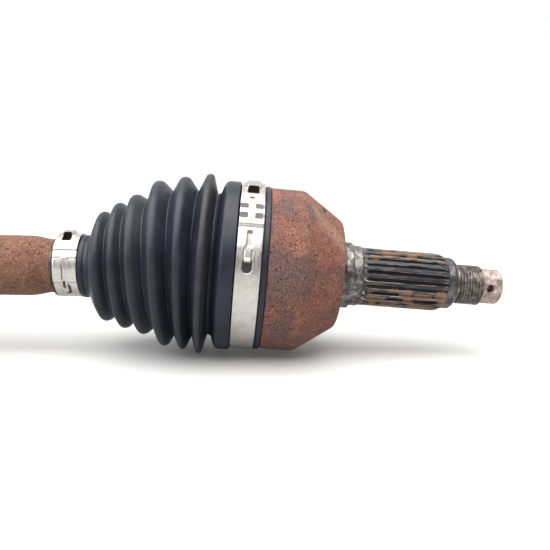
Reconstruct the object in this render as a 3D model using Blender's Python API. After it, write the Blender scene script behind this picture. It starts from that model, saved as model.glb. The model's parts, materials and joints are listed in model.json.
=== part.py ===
"""Front-wheel drive axle: a ball joint (wheel end) and a tripod joint (gearbox end) on one shaft.

The shaft lies along +X, the wheel end is at +X, and the axle rests on its two rubber boots at z = 0.
Every joint is modelled about its own centre: the names "outer" and "inner" are those joints, as a
mechanic uses them (outer = wheel, inner = gearbox). Lengths are in millimetres until they reach a mesh.
"""

import math

import bmesh
import bpy
from mathutils import Matrix, Vector

MM = 0.001

# ---- driving dimensions -------------------------------------------------------------------------
JOINT_SPACING = 395.0       # outer joint centre to inner joint centre
OUTER_BEND_DEG = 3.8        # the wheel stub hangs a little nose-down at rest
RIB_R, RIB_X = 43.9, 35.2   # the boot's largest rib, which stands on the ground

BELL_R, BELL_SEAT_R = 39.5, 38.4
BELL_RIM_X, BELL_CORNER_X, BELL_FACE_X, BELL_FACE_R = -24.0, 10.5, 30.0, 26.6
STUB_END_X = 112.4

BALL_R, BALL_CIRCLE_R, BALL_COUNT = 7.94, 25.5, 6
TRACK_CLEARANCE = 1.2       # round the ball, because the cage carries the balls rigidly
RACE_SPHERE_R, RACE_HALF_WIDTH = 21.5, 10.5
CAGE_INNER_R, CAGE_OUTER_R, CAGE_HALF_WIDTH = 22.1, 27.1, 13.0
HOUSING_SPHERE_R = 27.8
CAVITY_END_X, MOUTH_X, MOUTH_R = 22.5, -11.0, 36.8
CROSS_HOLE_R, CROSS_HOLE_X = 2.2, 106.2

HUB_SPLINE_TEETH, HUB_SPLINE_R, HUB_SPLINE_DEPTH = 25, 14.4, 1.3
SHAFT_SPLINE_TEETH, SHAFT_SPLINE_R, SHAFT_SPLINE_DEPTH = 24, 11.9, 0.9
SPLINE_CLEARANCE = 0.35

SHAFT_R, SHAFT_NECK_R, SHAFT_SEAT_R, SHAFT_BAR_R = 14.55, 12.9, 12.5, 10.8

ROLLER_R, ROLLER_WIDTH, ROLLER_CIRCLE_R, ROLLER_COUNT = 16.2, 12.0, 21.0, 3
ROLLER_BORE_R, TRUNNION_R, TRUNNION_TIP = 11.6, 9.0, 28.6
NEEDLE_COUNT = 16
GUIDE_CLEARANCE = 0.9       # between a roller and its guide way
TULIP_CORE_R, TULIP_LOBE_R = 23.5, 33.4
TULIP_MOUTH_X, TULIP_FLOOR_X, TULIP_BACK_X = 24.0, -38.0, -45.0
INNER_STUB_END_X, JOURNAL_END_X, JOURNAL_R = -110.0, -68.0, 17.5
SNAP_RING_X, SNAP_RING_R = -101.0, 1.1
INNER_SPLINE_TEETH, INNER_SPLINE_R, INNER_SPLINE_DEPTH = 24, 13.2, 1.1

GAP = 0.3                   # between pieces that touch on the real axle
SPLINED_SIDES = 48          # two sides for each tooth of a 24-tooth spline
BOOT_SIDES = 32             # the boots rest on one of these flats

# The boot from its small end to its cuff, as (distance from the joint centre, radius).
BOOT_PEAKS = [(83.1, 26.7), (74.9, 30.6), (66.3, 34.1), (55.6, 40.2), (45.0, 42.0), (RIB_X, RIB_R)]
BOOT_VALLEYS = [(78.9, 24.0), (70.6, 27.6), (60.6, 31.0), (49.9, 34.6), (39.7, 35.0), (31.4, 34.4)]
BOOT_WALL = 2.0
BOOT_BEND_FROM, BOOT_BEND_TO, BOOT_LEAN = 90.0, 26.0, 1.3
CLAMP_THICKNESS = 0.6
SMALL_CLAMP_X, LARGE_CLAMP_X, CLAMP_WIDTH = 99.5, 14.5, 10.8

# ---- the frame: everything is placed from the two joint centres ------------------------------------
LEFT_END = -JOINT_SPACING + INNER_STUB_END_X
RIGHT_END = STUB_END_X * math.cos(math.radians(OUTER_BEND_DEG)) + 7.7 * math.sin(math.radians(OUTER_BEND_DEG))
OUTER_X = -(LEFT_END + RIGHT_END) / 2      # puts the middle of the axle at x = 0
INNER_X = OUTER_X - JOINT_SPACING


def bend_share(x):
    """How much of the joint's bend a boot takes at a distance from the centre: all of it at the cuff."""
    t = min(1.0, max(0.0, (BOOT_BEND_FROM - x) / (BOOT_BEND_FROM - BOOT_BEND_TO)))
    return t * t * (3 - 2 * t)


def rib_lean(x):
    """The middle ribs lean the other way, because the rubber is stretched above and crowded below."""
    t = min(1.0, max(0.0, (BOOT_BEND_FROM - x) / (BOOT_BEND_FROM - RIB_X)))
    return -BOOT_LEAN * math.sin(math.pi * t)


# The bend lifts the outer boot's ribs, so the shaft lies lower than its largest rib is high.
RIB_BEND = math.radians(OUTER_BEND_DEG) * bend_share(RIB_X)
AXIS_HEIGHT = RIB_R * math.cos(RIB_BEND) - RIB_X * math.sin(RIB_BEND)


def clear_scene():
    for old in list(bpy.data.objects):
        bpy.data.objects.remove(old, do_unlink=True)


def material(name, color, roughness, metallic):
    made = bpy.data.materials.new(name)
    made.use_nodes = True
    shader = made.node_tree.nodes["Principled BSDF"]
    shader.inputs["Base Color"].default_value = (*color, 1.0)
    shader.inputs["Roughness"].default_value = roughness
    shader.inputs["Metallic"].default_value = metallic
    return made


def empty(name, x, bend_deg=0.0):
    frame = bpy.data.objects.new(name, None)
    frame.location = (x * MM, 0, AXIS_HEIGHT * MM)
    frame.rotation_euler = (0, math.radians(bend_deg), 0)
    bpy.context.collection.objects.link(frame)
    return frame


def finish(bm, name, parent, finish_material, turn_deg=0.0):
    """Writes a bmesh drawn in millimetres to an object in its joint's frame, turned about the axle."""
    bmesh.ops.remove_doubles(bm, verts=bm.verts, dist=1e-4)
    bmesh.ops.recalc_face_normals(bm, faces=bm.faces)
    bm.transform(Matrix.Scale(MM, 4))
    mesh = bpy.data.meshes.new(name)
    bm.to_mesh(mesh)
    bm.free()
    mesh.shade_smooth()
    mesh.set_sharp_from_angle(angle=math.radians(35))
    made = bpy.data.objects.new(name, mesh)
    bpy.context.collection.objects.link(made)
    made.parent = parent
    made.rotation_euler = (math.radians(turn_deg), 0, 0)
    if finish_material:
        mesh.materials.append(finish_material)
    return made


def cutter(bm, name, parent, turn_deg=0.0):
    made = finish(bm, name, parent, None, turn_deg)
    made.hide_render = True
    made.display_type = "WIRE"
    return made


def boolean(target, operation, other):
    step = target.modifiers.new(other.name, "BOOLEAN")
    step.operation = operation
    step.solver = "EXACT"
    step.object = other


def turned(profile, segments=SPLINED_SIDES, closed=False):
    """Turns (x, radius) points about the X axis. A closed profile makes a ring."""
    bm = bmesh.new()
    points = [bm.verts.new((x, 0, r)) for x, r in profile]
    pairs = list(zip(points, points[1:] + points[:1])) if closed else list(zip(points, points[1:]))
    edges = [bm.edges.new(pair) for pair in pairs]
    bmesh.ops.spin(bm, geom=points + edges, cent=(0, 0, 0), axis=(1, 0, 0), dvec=(0, 0, 0),
                   angle=2 * math.pi, steps=segments, use_merge=True)
    bmesh.ops.remove_doubles(bm, verts=bm.verts, dist=1e-4)
    return bm


def cut_teeth(bm, teeth, depth, from_x, to_x, near_r):
    """Pushes every second point between two stations inwards, which leaves V-shaped spline teeth."""
    for vert in bm.verts:
        radius = math.hypot(vert.co.y, vert.co.z)
        if from_x <= vert.co.x <= to_x and abs(radius - near_r) < 0.2:
            place = math.atan2(vert.co.y, vert.co.z) / (math.pi / teeth)
            if round(place) % 2:
                vert.co.y *= (radius - depth) / radius
                vert.co.z *= (radius - depth) / radius


def arc(radius, from_x, to_x, steps):
    """Points of a sphere about the joint centre, as (x, radius), between two stations."""
    start, end = math.asin(from_x / radius), math.asin(to_x / radius)
    angles = [start + (end - start) * i / steps for i in range(steps + 1)]
    return [(radius * math.sin(a), radius * math.cos(a)) for a in angles]


def track_bar(reach_deg, steps=6, sides=12):
    """The path of a ball about the joint centre: a round bar bent to the ball circle, on +Z."""
    bm = bmesh.new()
    start = math.radians(-reach_deg)
    made = bmesh.ops.create_circle(bm, cap_ends=True, segments=sides, radius=BALL_R + TRACK_CLEARANCE)
    outline = made["verts"]
    # The circle is drawn in the YZ plane at the start of the path, square to it.
    bm.transform(Matrix.Rotation(start, 4, "Y") @ Matrix.Translation((0, 0, BALL_CIRCLE_R))
                 @ Matrix.Rotation(math.pi / 2, 4, "Y"))
    bmesh.ops.spin(bm, geom=outline + list(bm.edges) + list(bm.faces), cent=(0, 0, 0), axis=(0, 1, 0),
                   dvec=(0, 0, 0), angle=math.radians(2 * reach_deg), steps=steps)
    # The first cap is inside the bar unless the faces that close both ends are rebuilt.
    bmesh.ops.delete(bm, geom=[f for f in bm.faces if len(f.verts) > 4], context="FACES_ONLY")
    bmesh.ops.holes_fill(bm, edges=[e for e in bm.edges if e.is_boundary], sides=sides)
    return bm


def ball_angles():
    """Turns about +X from +Z: ball 1 lies on -Y and ball 4 on +Y, the axis that the joint bends about."""
    return [90.0 + 360.0 * i / BALL_COUNT for i in range(BALL_COUNT)]


def roller_angles():
    return [360.0 * i / ROLLER_COUNT for i in range(ROLLER_COUNT)]


def box(low, high, bevel=0.0, steps=1):
    bm = bmesh.new()
    bmesh.ops.create_cube(bm, size=1.0)
    low, high = Vector(low), Vector(high)
    bm.transform(Matrix.Translation((low + high) / 2) @ Matrix.Diagonal((*(high - low), 1.0)))
    if bevel:
        upright = [e for e in bm.edges if abs((e.verts[0].co - e.verts[1].co).normalized().z) > 0.9]
        bmesh.ops.bevel(bm, geom=upright, offset=bevel, segments=steps, affect="EDGES", profile=0.5)
    return bm


def rod(radius, from_z, to_z, segments):
    """A cylinder along Z."""
    bm = bmesh.new()
    bmesh.ops.create_cone(bm, cap_ends=True, segments=segments, radius1=radius, radius2=radius,
                          depth=to_z - from_z)
    bm.transform(Matrix.Translation((0, 0, (from_z + to_z) / 2)))
    return bm


def stood_on_z(bm):
    """A piece turned about X is stood up, so that its +X becomes +Z."""
    bm.transform(Matrix.Rotation(-math.pi / 2, 4, "Y"))
    return bm


# ---- wheel-end joint ------------------------------------------------------------------------------
def outer_housing(frame, steel):
    cone_run = BELL_FACE_X - BELL_CORNER_X
    cone_drop = BELL_R - BELL_FACE_R
    profile = [(CAVITY_END_X, 0.0)]
    profile += reversed(arc(HOUSING_SPHERE_R, MOUTH_X, CAVITY_END_X, 6))
    profile += [(BELL_RIM_X, MOUTH_R), (BELL_RIM_X, BELL_SEAT_R - 0.6), (BELL_RIM_X + 0.6, BELL_SEAT_R),
                (-5.8, BELL_SEAT_R), (-5.8, BELL_R - 0.4), (-5.4, BELL_R),
                (BELL_CORNER_X - 0.6, BELL_R), (BELL_CORNER_X + 0.6, BELL_R - 0.4)]
    profile += [(BELL_CORNER_X + cone_run * t, BELL_R - cone_drop * t) for t in (0.5, 0.93)]
    profile += [(BELL_FACE_X, BELL_FACE_R - 1.2), (BELL_FACE_X, 16.4), (36.2, 16.4), (36.2, 15.0),
                (40.8, 15.0), (41.4, HUB_SPLINE_R),
                (43.5, HUB_SPLINE_R), (80.6, HUB_SPLINE_R), (83.6, 12.85),
                (87.0, 12.85), (88.6, 11.4), (88.6, 9.0), (90.4, 9.0), (91.2, 9.95), (101.9, 9.95),
                (102.7, 8.7), (111.4, 8.7), (STUB_END_X, 7.7), (STUB_END_X, 0.0)]
    bm = turned(profile, 2 * HUB_SPLINE_TEETH)
    cut_teeth(bm, HUB_SPLINE_TEETH, HUB_SPLINE_DEPTH, 43.0, 81.0, HUB_SPLINE_R)
    housing = finish(bm, "outer_housing", frame, steel)
    for number, angle in enumerate(ball_angles(), 1):
        boolean(housing, "DIFFERENCE", cutter(track_bar(44.0), f"housing_track_{number}", frame, angle))
    hole = rod(CROSS_HOLE_R, -15.0, 15.0, 16)
    hole.transform(Matrix.Translation((CROSS_HOLE_X, 0, 0)) @ Matrix.Rotation(math.pi / 2, 4, "X"))
    boolean(housing, "DIFFERENCE", cutter(hole, "cross_hole", frame))


def inner_race(frame, steel):
    bore = SHAFT_SPLINE_R + SPLINE_CLEARANCE
    profile = arc(RACE_SPHERE_R, -RACE_HALF_WIDTH, RACE_HALF_WIDTH, 4)
    profile += [(RACE_HALF_WIDTH, bore), (-RACE_HALF_WIDTH, bore)]
    bm = turned(profile, closed=True)
    cut_teeth(bm, SHAFT_SPLINE_TEETH, SHAFT_SPLINE_DEPTH, -RACE_HALF_WIDTH, RACE_HALF_WIDTH, bore)
    race = finish(bm, "inner_race", frame, steel)
    for number, angle in enumerate(ball_angles(), 1):
        boolean(race, "DIFFERENCE", cutter(track_bar(44.0), f"race_track_{number}", frame, angle))


def ball_cage(frame, steel):
    profile = arc(CAGE_OUTER_R, -CAGE_HALF_WIDTH, CAGE_HALF_WIDTH, 4)
    profile += reversed(arc(CAGE_INNER_R, -CAGE_HALF_WIDTH, CAGE_HALF_WIDTH, 3))
    cage = finish(turned(profile, 30, closed=True), "ball_cage", frame, steel)
    half = BALL_R + GAP
    for number, angle in enumerate(ball_angles(), 1):
        window = box((-half, -9.6, 12.0), (half, 9.6, 35.0), bevel=2.5, steps=2)
        boolean(cage, "DIFFERENCE", cutter(window, f"cage_window_{number}", frame, angle))


def balls(frame, steel):
    for number, angle in enumerate(ball_angles(), 1):
        bm = bmesh.new()
        bmesh.ops.create_uvsphere(bm, u_segments=12, v_segments=8, radius=BALL_R)
        bm.transform(Matrix.Translation((0, 0, BALL_CIRCLE_R)))
        finish(bm, f"ball_{number}", frame, steel, angle)


def open_ring(name, frame, steel, inner_r, outer_r, from_x, to_x, opening, turn_deg):
    """A circlip: a flat ring with a gap."""
    profile = [(from_x, inner_r), (from_x, outer_r), (to_x, outer_r), (to_x, inner_r)]
    ring = finish(turned(profile, 24, closed=True), name, frame, steel, turn_deg)
    slot = box((from_x - 1, -opening / 2, inner_r / 2), (to_x + 1, opening / 2, outer_r + 2))
    boolean(ring, "DIFFERENCE", cutter(slot, f"{name}_slot", frame, turn_deg))


# ---- boots and clamps, the same at both joints -------------------------------------------------------
def boot_profile(largest_r):
    """The closed outline of a boot's wall, measured away from the joint centre."""
    outer = [(106.2, 14.7), (105.2, 14.7), (105.2, 14.0), (93.8, 14.0), (93.8, 15.2), (89.6, 15.3)]
    for (peak_x, peak_r), (valley_x, valley_r) in zip(BOOT_PEAKS, BOOT_VALLEYS):
        outer += [(peak_x, peak_r * largest_r / RIB_R), (valley_x, valley_r)]
    outer += [(30.3, 37.8), (27.0, 38.4), (27.0, 41.2), (20.2, 41.2), (20.2, 39.4), (6.1, 39.4)]
    inner = [(6.1, BELL_SEAT_R + GAP), (24.3, BELL_SEAT_R + GAP), (26.0, 36.0)]
    inner += [(x, r - BOOT_WALL) for x, r in reversed(BOOT_VALLEYS[0::2])]
    inner += [(90.0, SHAFT_SEAT_R + 0.8), (106.2, SHAFT_SEAT_R + GAP)]
    return outer + inner


def boot(name, frame, rubber, side, bend_deg, largest_r):
    flat_r = 1 / math.cos(math.pi / BOOT_SIDES)
    bm = turned([(side * x, r * flat_r) for x, r in boot_profile(largest_r)], BOOT_SIDES, closed=True)
    bm.transform(Matrix.Rotation(math.pi / BOOT_SIDES, 4, "X"))
    bend = math.radians(bend_deg)
    for vert in bm.verts:
        station = Vector((vert.co.x, 0, 0))
        leaning = Matrix.Rotation(bend * rib_lean(abs(vert.co.x)), 3, "Y") @ (vert.co - station)
        vert.co = Matrix.Rotation(bend * bend_share(abs(vert.co.x)), 3, "Y") @ (station + leaning)
    finish(bm, name, frame, rubber)


def clamp(name, frame, steel, side, x, inner_r, turn_deg):
    """A stainless band with its low closing ear on +Z, turned about the axle."""
    low, high = x - CLAMP_WIDTH / 2, x + CLAMP_WIDTH / 2
    outer_r = inner_r + CLAMP_THICKNESS
    profile = [(side * low, inner_r), (side * low, outer_r), (side * high, outer_r), (side * high, inner_r)]
    band = finish(turned(profile, 36, closed=True), name, frame, steel, turn_deg)
    ear = box((side * x - CLAMP_WIDTH * 0.42, -3.2, inner_r + 0.2),
              (side * x + CLAMP_WIDTH * 0.42, 3.2, outer_r + 1.4), bevel=1.0)
    boolean(band, "UNION", cutter(ear, f"{name}_ear", frame, turn_deg))


# ---- shaft ----------------------------------------------------------------------------------------
def shaft(frame, steel):
    """Both ends are the same: spline, circlip groove, slim bar, boot seat, neck, thick middle."""
    end = [(14.6, 0.0), (14.6, 10.0), (13.6, 11.0), (12.9, 11.0), (12.9, 10.4), (11.1, 10.4),
           (11.1, SHAFT_SPLINE_R), (-12.8, SHAFT_SPLINE_R), (-14.6, SHAFT_BAR_R), (-90.0, SHAFT_BAR_R),
           (-92.6, SHAFT_SEAT_R), (-107.0, SHAFT_SEAT_R), (-107.0, SHAFT_NECK_R),
           (-109.6, SHAFT_NECK_R), (-117.6, SHAFT_R)]
    far = [(-JOINT_SPACING - x, r) for x, r in reversed(end)]
    bm = turned(end + far)
    teeth = (SHAFT_SPLINE_TEETH, SHAFT_SPLINE_DEPTH)
    cut_teeth(bm, *teeth, -13.0, 11.2, SHAFT_SPLINE_R)
    cut_teeth(bm, *teeth, -JOINT_SPACING - 11.2, -JOINT_SPACING + 13.0, SHAFT_SPLINE_R)
    finish(bm, "shaft", frame, steel)


# ---- gearbox-end joint ------------------------------------------------------------------------------
def spider(frame, steel):
    bore = SHAFT_SPLINE_R + SPLINE_CLEARANCE
    bm = turned([(-10.5, bore), (-10.5, 14.6), (-8.5, 16.0), (8.5, 16.0), (10.5, 14.6), (10.5, bore)],
                closed=True)
    cut_teeth(bm, SHAFT_SPLINE_TEETH, SHAFT_SPLINE_DEPTH, -10.5, 10.5, bore)
    hub = finish(bm, "spider", frame, steel)
    for number, angle in enumerate(roller_angles(), 1):
        # The trunnion starts outside the bore and ends in a grooved tip for the roller's retainer.
        groove_r = TRUNNION_R - 1.0
        trunnion = stood_on_z(turned([(13.6, 0.0), (13.6, TRUNNION_R), (27.0, TRUNNION_R),
                                      (27.0, groove_r), (28.1, groove_r), (28.1, TRUNNION_R - 0.2),
                                      (TRUNNION_TIP, TRUNNION_R - 0.9), (TRUNNION_TIP, 0.0)], 20))
        boolean(hub, "UNION", cutter(trunnion, f"trunnion_{number}", frame, angle))


def roller_set(frame, bearing_steel, spring_steel):
    low, high = ROLLER_CIRCLE_R - ROLLER_WIDTH / 2, ROLLER_CIRCLE_R + ROLLER_WIDTH / 2
    for number, angle in enumerate(roller_angles(), 1):
        crown = [(ROLLER_CIRCLE_R + x, r) for x, r in arc(ROLLER_R, -ROLLER_WIDTH / 2, ROLLER_WIDTH / 2, 2)]
        bm = turned(crown + [(high, ROLLER_BORE_R), (low, ROLLER_BORE_R)], 28, closed=True)
        finish(stood_on_z(bm), f"roller_{number}", frame, bearing_steel, angle)
        inner, outer = TRUNNION_R + GAP, ROLLER_BORE_R - GAP
        bm = turned([(low + 0.7, inner), (low + 0.7, outer), (high - 0.7, outer), (high - 0.7, inner)],
                    2 * NEEDLE_COUNT, closed=True)
        cut_teeth(bm, NEEDLE_COUNT, 0.5, 0.0, 40.0, outer)
        cut_teeth(bm, NEEDLE_COUNT, -0.5, 0.0, 40.0, inner)
        finish(stood_on_z(bm), f"needle_ring_{number}", frame, bearing_steel, angle)
        bm = turned([(27.2, TRUNNION_R - 0.7), (27.2, 11.4), (27.9, 11.4), (27.9, TRUNNION_R - 0.7)],
                    20, closed=True)
        finish(stood_on_z(bm), f"roller_retainer_{number}", frame, spring_steel, angle)


def guide_way():
    """One lobe of the housing's hollow: the roller's way, cut off at the lobe's outer wall."""
    way_r = ROLLER_R + GUIDE_CLEARANCE
    half = math.acos((TULIP_LOBE_R ** 2 + ROLLER_CIRCLE_R ** 2 - way_r ** 2)
                     / (2 * TULIP_LOBE_R * ROLLER_CIRCLE_R))
    side_angle = math.atan2(TULIP_LOBE_R * math.sin(half),
                            TULIP_LOBE_R * math.cos(half) - ROLLER_CIRCLE_R)
    outline = [(TULIP_LOBE_R * math.sin(a), TULIP_LOBE_R * math.cos(a))
               for a in (half * (i / 4 - 1) for i in range(8))]
    outline += [(way_r * math.sin(a), ROLLER_CIRCLE_R + way_r * math.cos(a))
                for a in (side_angle + (2.6 - side_angle) * i / 8 for i in range(9))]
    outline += [(-y, z) for y, z in reversed(outline[-8:])]
    bm = bmesh.new()
    face = bm.faces.new([bm.verts.new((TULIP_FLOOR_X, y, z)) for y, z in outline])
    grown = bmesh.ops.extrude_face_region(bm, geom=[face])
    moved = [item for item in grown["geom"] if isinstance(item, bmesh.types.BMVert)]
    bmesh.ops.translate(bm, verts=moved, vec=(TULIP_MOUTH_X - TULIP_FLOOR_X + 5.0, 0, 0))
    return bm


def inner_housing(frame, steel):
    """A tulip: round outside at the boot, fluted between the lobes, with the gearbox stub behind."""
    groove = SNAP_RING_R + GAP
    profile = [(TULIP_FLOOR_X, 0.0), (TULIP_FLOOR_X, TULIP_CORE_R), (TULIP_MOUTH_X - 5.0, TULIP_CORE_R),
               (TULIP_MOUTH_X, TULIP_CORE_R + 5.0), (TULIP_MOUTH_X, BELL_SEAT_R - 0.6),
               (TULIP_MOUTH_X - 0.6, BELL_SEAT_R), (5.8, BELL_SEAT_R), (5.8, BELL_R - 0.4), (5.4, BELL_R),
               (-32.0, BELL_R), (-40.0, 36.0), (TULIP_BACK_X, 29.0), (TULIP_BACK_X, 21.0),
               (-48.0, JOURNAL_R), (JOURNAL_END_X, JOURNAL_R), (JOURNAL_END_X - 1.0, JOURNAL_R - 1.0),
               (JOURNAL_END_X - 1.0, 12.0), (-71.0, 12.0), (-73.0, INNER_SPLINE_R),
               (SNAP_RING_X + groove, INNER_SPLINE_R), (SNAP_RING_X + groove, 11.2),
               (SNAP_RING_X - groove, 11.2), (SNAP_RING_X - groove, INNER_SPLINE_R),
               (INNER_STUB_END_X + 3.0, INNER_SPLINE_R), (INNER_STUB_END_X, 10.8), (INNER_STUB_END_X, 0.0)]
    bm = turned(profile)
    cut_teeth(bm, INNER_SPLINE_TEETH, INNER_SPLINE_DEPTH, -108.0, -73.2, INNER_SPLINE_R)
    housing = finish(bm, "inner_housing", frame, steel)
    for number, angle in enumerate(roller_angles(), 1):
        boolean(housing, "DIFFERENCE", cutter(guide_way(), f"guide_way_{number}", frame, angle))
        flute = turned([(-52.0, 0.0), (-52.0, 16.0), (0.0, 16.0), (5.0, 9.0), (5.0, 0.0)], 28)
        flute.transform(Matrix.Translation((0, 0, 47.0)))
        boolean(housing, "DIFFERENCE", cutter(flute, f"flute_{number}", frame, angle + 60.0))


def snap_ring(frame, steel):
    """The round-wire ring that holds the stub in the gearbox."""
    centre_r = 11.2 + GAP + SNAP_RING_R
    wire = [(SNAP_RING_X + SNAP_RING_R * math.cos(a), centre_r + SNAP_RING_R * math.sin(a))
            for a in (2 * math.pi * i / 5 for i in range(5))]
    ring = finish(turned(wire, 24, closed=True), "stub_snap_ring", frame, steel, 140.0)
    slot = box((SNAP_RING_X - 3, -2.0, 5.0), (SNAP_RING_X + 3, 2.0, 20.0))
    boolean(ring, "DIFFERENCE", cutter(slot, "stub_snap_ring_slot", frame, 140.0))


def build():
    clear_scene()
    rusty = material("rusted_forging", (0.24, 0.105, 0.06), 0.75, 0.35)
    ground = material("ground_steel", (0.55, 0.55, 0.56), 0.25, 1.0)
    spring = material("spring_steel", (0.2, 0.2, 0.22), 0.4, 1.0)
    stainless = material("stainless_band", (0.66, 0.62, 0.56), 0.3, 1.0)
    rubber = material("boot_rubber", (0.02, 0.022, 0.025), 0.5, 0.0)

    # The joint halves the bend: the cage lies midway between the shaft and the bell.
    outer = empty("outer_centre", OUTER_X)
    cage = empty("cage_centre", OUTER_X, OUTER_BEND_DEG / 2)
    bell = empty("bell_centre", OUTER_X, OUTER_BEND_DEG)
    inner = empty("inner_centre", INNER_X)

    shaft(outer, rusty)
    outer_housing(bell, rusty)
    inner_race(outer, ground)
    ball_cage(cage, ground)
    balls(cage, ground)
    open_ring("race_circlip", outer, spring, 10.7, 12.6, 11.4, 12.6, 5.0, 200.0)
    boot("outer_boot", outer, rubber, -1, OUTER_BEND_DEG, RIB_R)
    clamp("outer_large_clamp", bell, stainless, -1, LARGE_CLAMP_X, 39.9, 24.0)
    clamp("outer_small_clamp", outer, stainless, -1, SMALL_CLAMP_X, 14.3, 25.0)

    spider(inner, ground)
    roller_set(inner, ground, spring)
    open_ring("spider_circlip", inner, spring, 10.7, 12.6, -12.6, -11.4, 5.0, 200.0)
    inner_housing(inner, rusty)
    boot("inner_boot", inner, rubber, 1, 0.0, AXIS_HEIGHT)
    clamp("inner_large_clamp", inner, stainless, 1, LARGE_CLAMP_X, 39.9, 24.0)
    clamp("inner_small_clamp", inner, stainless, 1, SMALL_CLAMP_X, 14.3, 25.0)
    snap_ring(inner, spring)


build()
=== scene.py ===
"""Looks of a front-wheel drive axle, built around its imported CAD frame.

Shapes are drawn in millimetres about the centre of the joint that they belong to, with x along the
axle, and are placed in the row frame in metres. An angle "a" turns about the axle from +Z towards -Y,
the side that the camera is on.
"""

import json
import math

import bmesh
import bpy
import numpy as np
from mathutils import Matrix, Vector, noise


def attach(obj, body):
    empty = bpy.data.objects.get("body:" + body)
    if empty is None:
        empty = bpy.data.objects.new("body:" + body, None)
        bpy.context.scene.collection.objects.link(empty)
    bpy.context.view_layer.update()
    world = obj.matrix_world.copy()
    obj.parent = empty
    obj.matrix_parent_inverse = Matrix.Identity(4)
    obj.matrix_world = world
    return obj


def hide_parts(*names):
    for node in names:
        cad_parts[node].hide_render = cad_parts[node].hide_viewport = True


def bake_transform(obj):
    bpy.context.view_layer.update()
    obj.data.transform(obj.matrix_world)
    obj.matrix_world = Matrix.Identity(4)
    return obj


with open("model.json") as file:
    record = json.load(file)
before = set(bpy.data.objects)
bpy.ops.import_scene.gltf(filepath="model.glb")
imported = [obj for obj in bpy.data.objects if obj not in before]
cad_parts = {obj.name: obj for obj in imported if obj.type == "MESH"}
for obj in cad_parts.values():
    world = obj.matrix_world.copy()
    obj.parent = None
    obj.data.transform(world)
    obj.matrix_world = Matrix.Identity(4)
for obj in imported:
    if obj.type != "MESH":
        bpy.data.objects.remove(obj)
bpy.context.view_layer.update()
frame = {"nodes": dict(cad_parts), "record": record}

MM = 0.001
RECORD = frame["record"]
JOINTS = {joint["name"]: joint for joint in RECORD["behaviour"]["joints"]}
STUB_AXIS = next(m["axis"] for m in RECORD["mounts"] if m["name"] == "hub_shoulder")
BEND = math.atan2(-STUB_AXIS[2], STUB_AXIS[0])
OUTER_CENTRE = Vector(JOINTS["outer_bend"]["pos_m"])
INNER_CENTRE = Vector(JOINTS["inner_bend"]["pos_m"])
SPACING = (OUTER_CENTRE.x - INNER_CENTRE.x) / MM
OUTER = Matrix.Translation(OUTER_CENTRE)
BELL = OUTER @ Matrix.Rotation(BEND, 4, "Y")
INNER = Matrix.Translation(INNER_CENTRE)


# ---- mesh tools -----------------------------------------------------------------------------------
def smooth(t):
    """A soft step from 0 to 1 as t goes from 0 to 1."""
    t = np.clip(t, 0.0, 1.0)
    return t * t * (3 - 2 * t)


def rounded(corners, steps=5):
    """(x, r) points stay sharp; (x, r, reach) points become a curve that starts "reach" mm before them."""
    out = [Vector(corners[0][:2])]
    for before, here, after in zip(corners, corners[1:], corners[2:]):
        middle = Vector(here[:2])
        if len(here) < 3:
            out.append(middle)
            continue
        back, on = Vector(before[:2]) - middle, Vector(after[:2]) - middle
        reach = min(here[2], 0.49 * back.length, 0.49 * on.length)
        start, end = middle + back.normalized() * reach, middle + on.normalized() * reach
        for i in range(steps + 1):
            t = i / steps
            out.append(start * (1 - t) ** 2 + middle * (2 * t * (1 - t)) + end * t * t)
    out.append(Vector(corners[-1][:2]))
    return out


def rows_of(parts):
    """Rows (x, r, zone) of a turned shape. A part is (zone, longest step, corners)."""
    rows = []
    for zone, step, corners in parts:
        line = rounded(corners)
        if not rows:
            rows.append((*line[0], zone))
        for p, q in zip(line, line[1:]):
            count = max(1, math.ceil((q - p).length / step))
            rows += [(*p.lerp(q, (i + 1) / count), zone) for i in range(count)]
    return np.array(rows)


def relief(points, size, octaves=4):
    """Fractal noise, about -1 to 1, at points in mm."""
    flat = points.reshape(-1, 3) / size
    return np.array([noise.fractal(p, 1.0, 2.0, octaves) for p in flat]).reshape(points.shape[:-1])


def pits(points, spacing, size):
    """1 in the middle of a pit and 0 outside it."""
    flat = points.reshape(-1, 3) / spacing
    nearest = np.array([noise.voronoi(p)[0][0] for p in flat]).reshape(points.shape[:-1])
    return smooth((size - nearest) / size)


def around(x, r, a):
    """Points at x along the axle, r from it and angle a round it."""
    return np.stack([x, -r * np.sin(a), r * np.cos(a)], -1)


def made(name, points, quads, place, materials, zones=None, marks=None, sharp=40.0):
    """A mesh object from points in mm. Marks are named numbers on its points, for the materials."""
    mesh = bpy.data.meshes.new(name)
    mesh.from_pydata((points.reshape(-1, 3) * MM).tolist(), [], quads.tolist())
    for label, values in (marks or {}).items():
        mesh.attributes.new(label, "FLOAT", "POINT").data.foreach_set(
            "value", np.asarray(values, np.float32).ravel())
    if zones is not None:
        mesh.polygons.foreach_set("material_index", np.asarray(zones, np.int32))
    bm = bmesh.new()
    bm.from_mesh(mesh)
    bmesh.ops.remove_doubles(bm, verts=bm.verts, dist=1e-6)
    bmesh.ops.recalc_face_normals(bm, faces=bm.faces)
    bm.transform(place)
    bm.to_mesh(mesh)
    bm.free()
    for item in materials:
        mesh.materials.append(item)
    mesh.shade_smooth()
    mesh.set_sharp_from_angle(angle=math.radians(sharp))
    made_object = bpy.data.objects.new(name, mesh)
    bpy.context.collection.objects.link(made_object)
    return made_object


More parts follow.
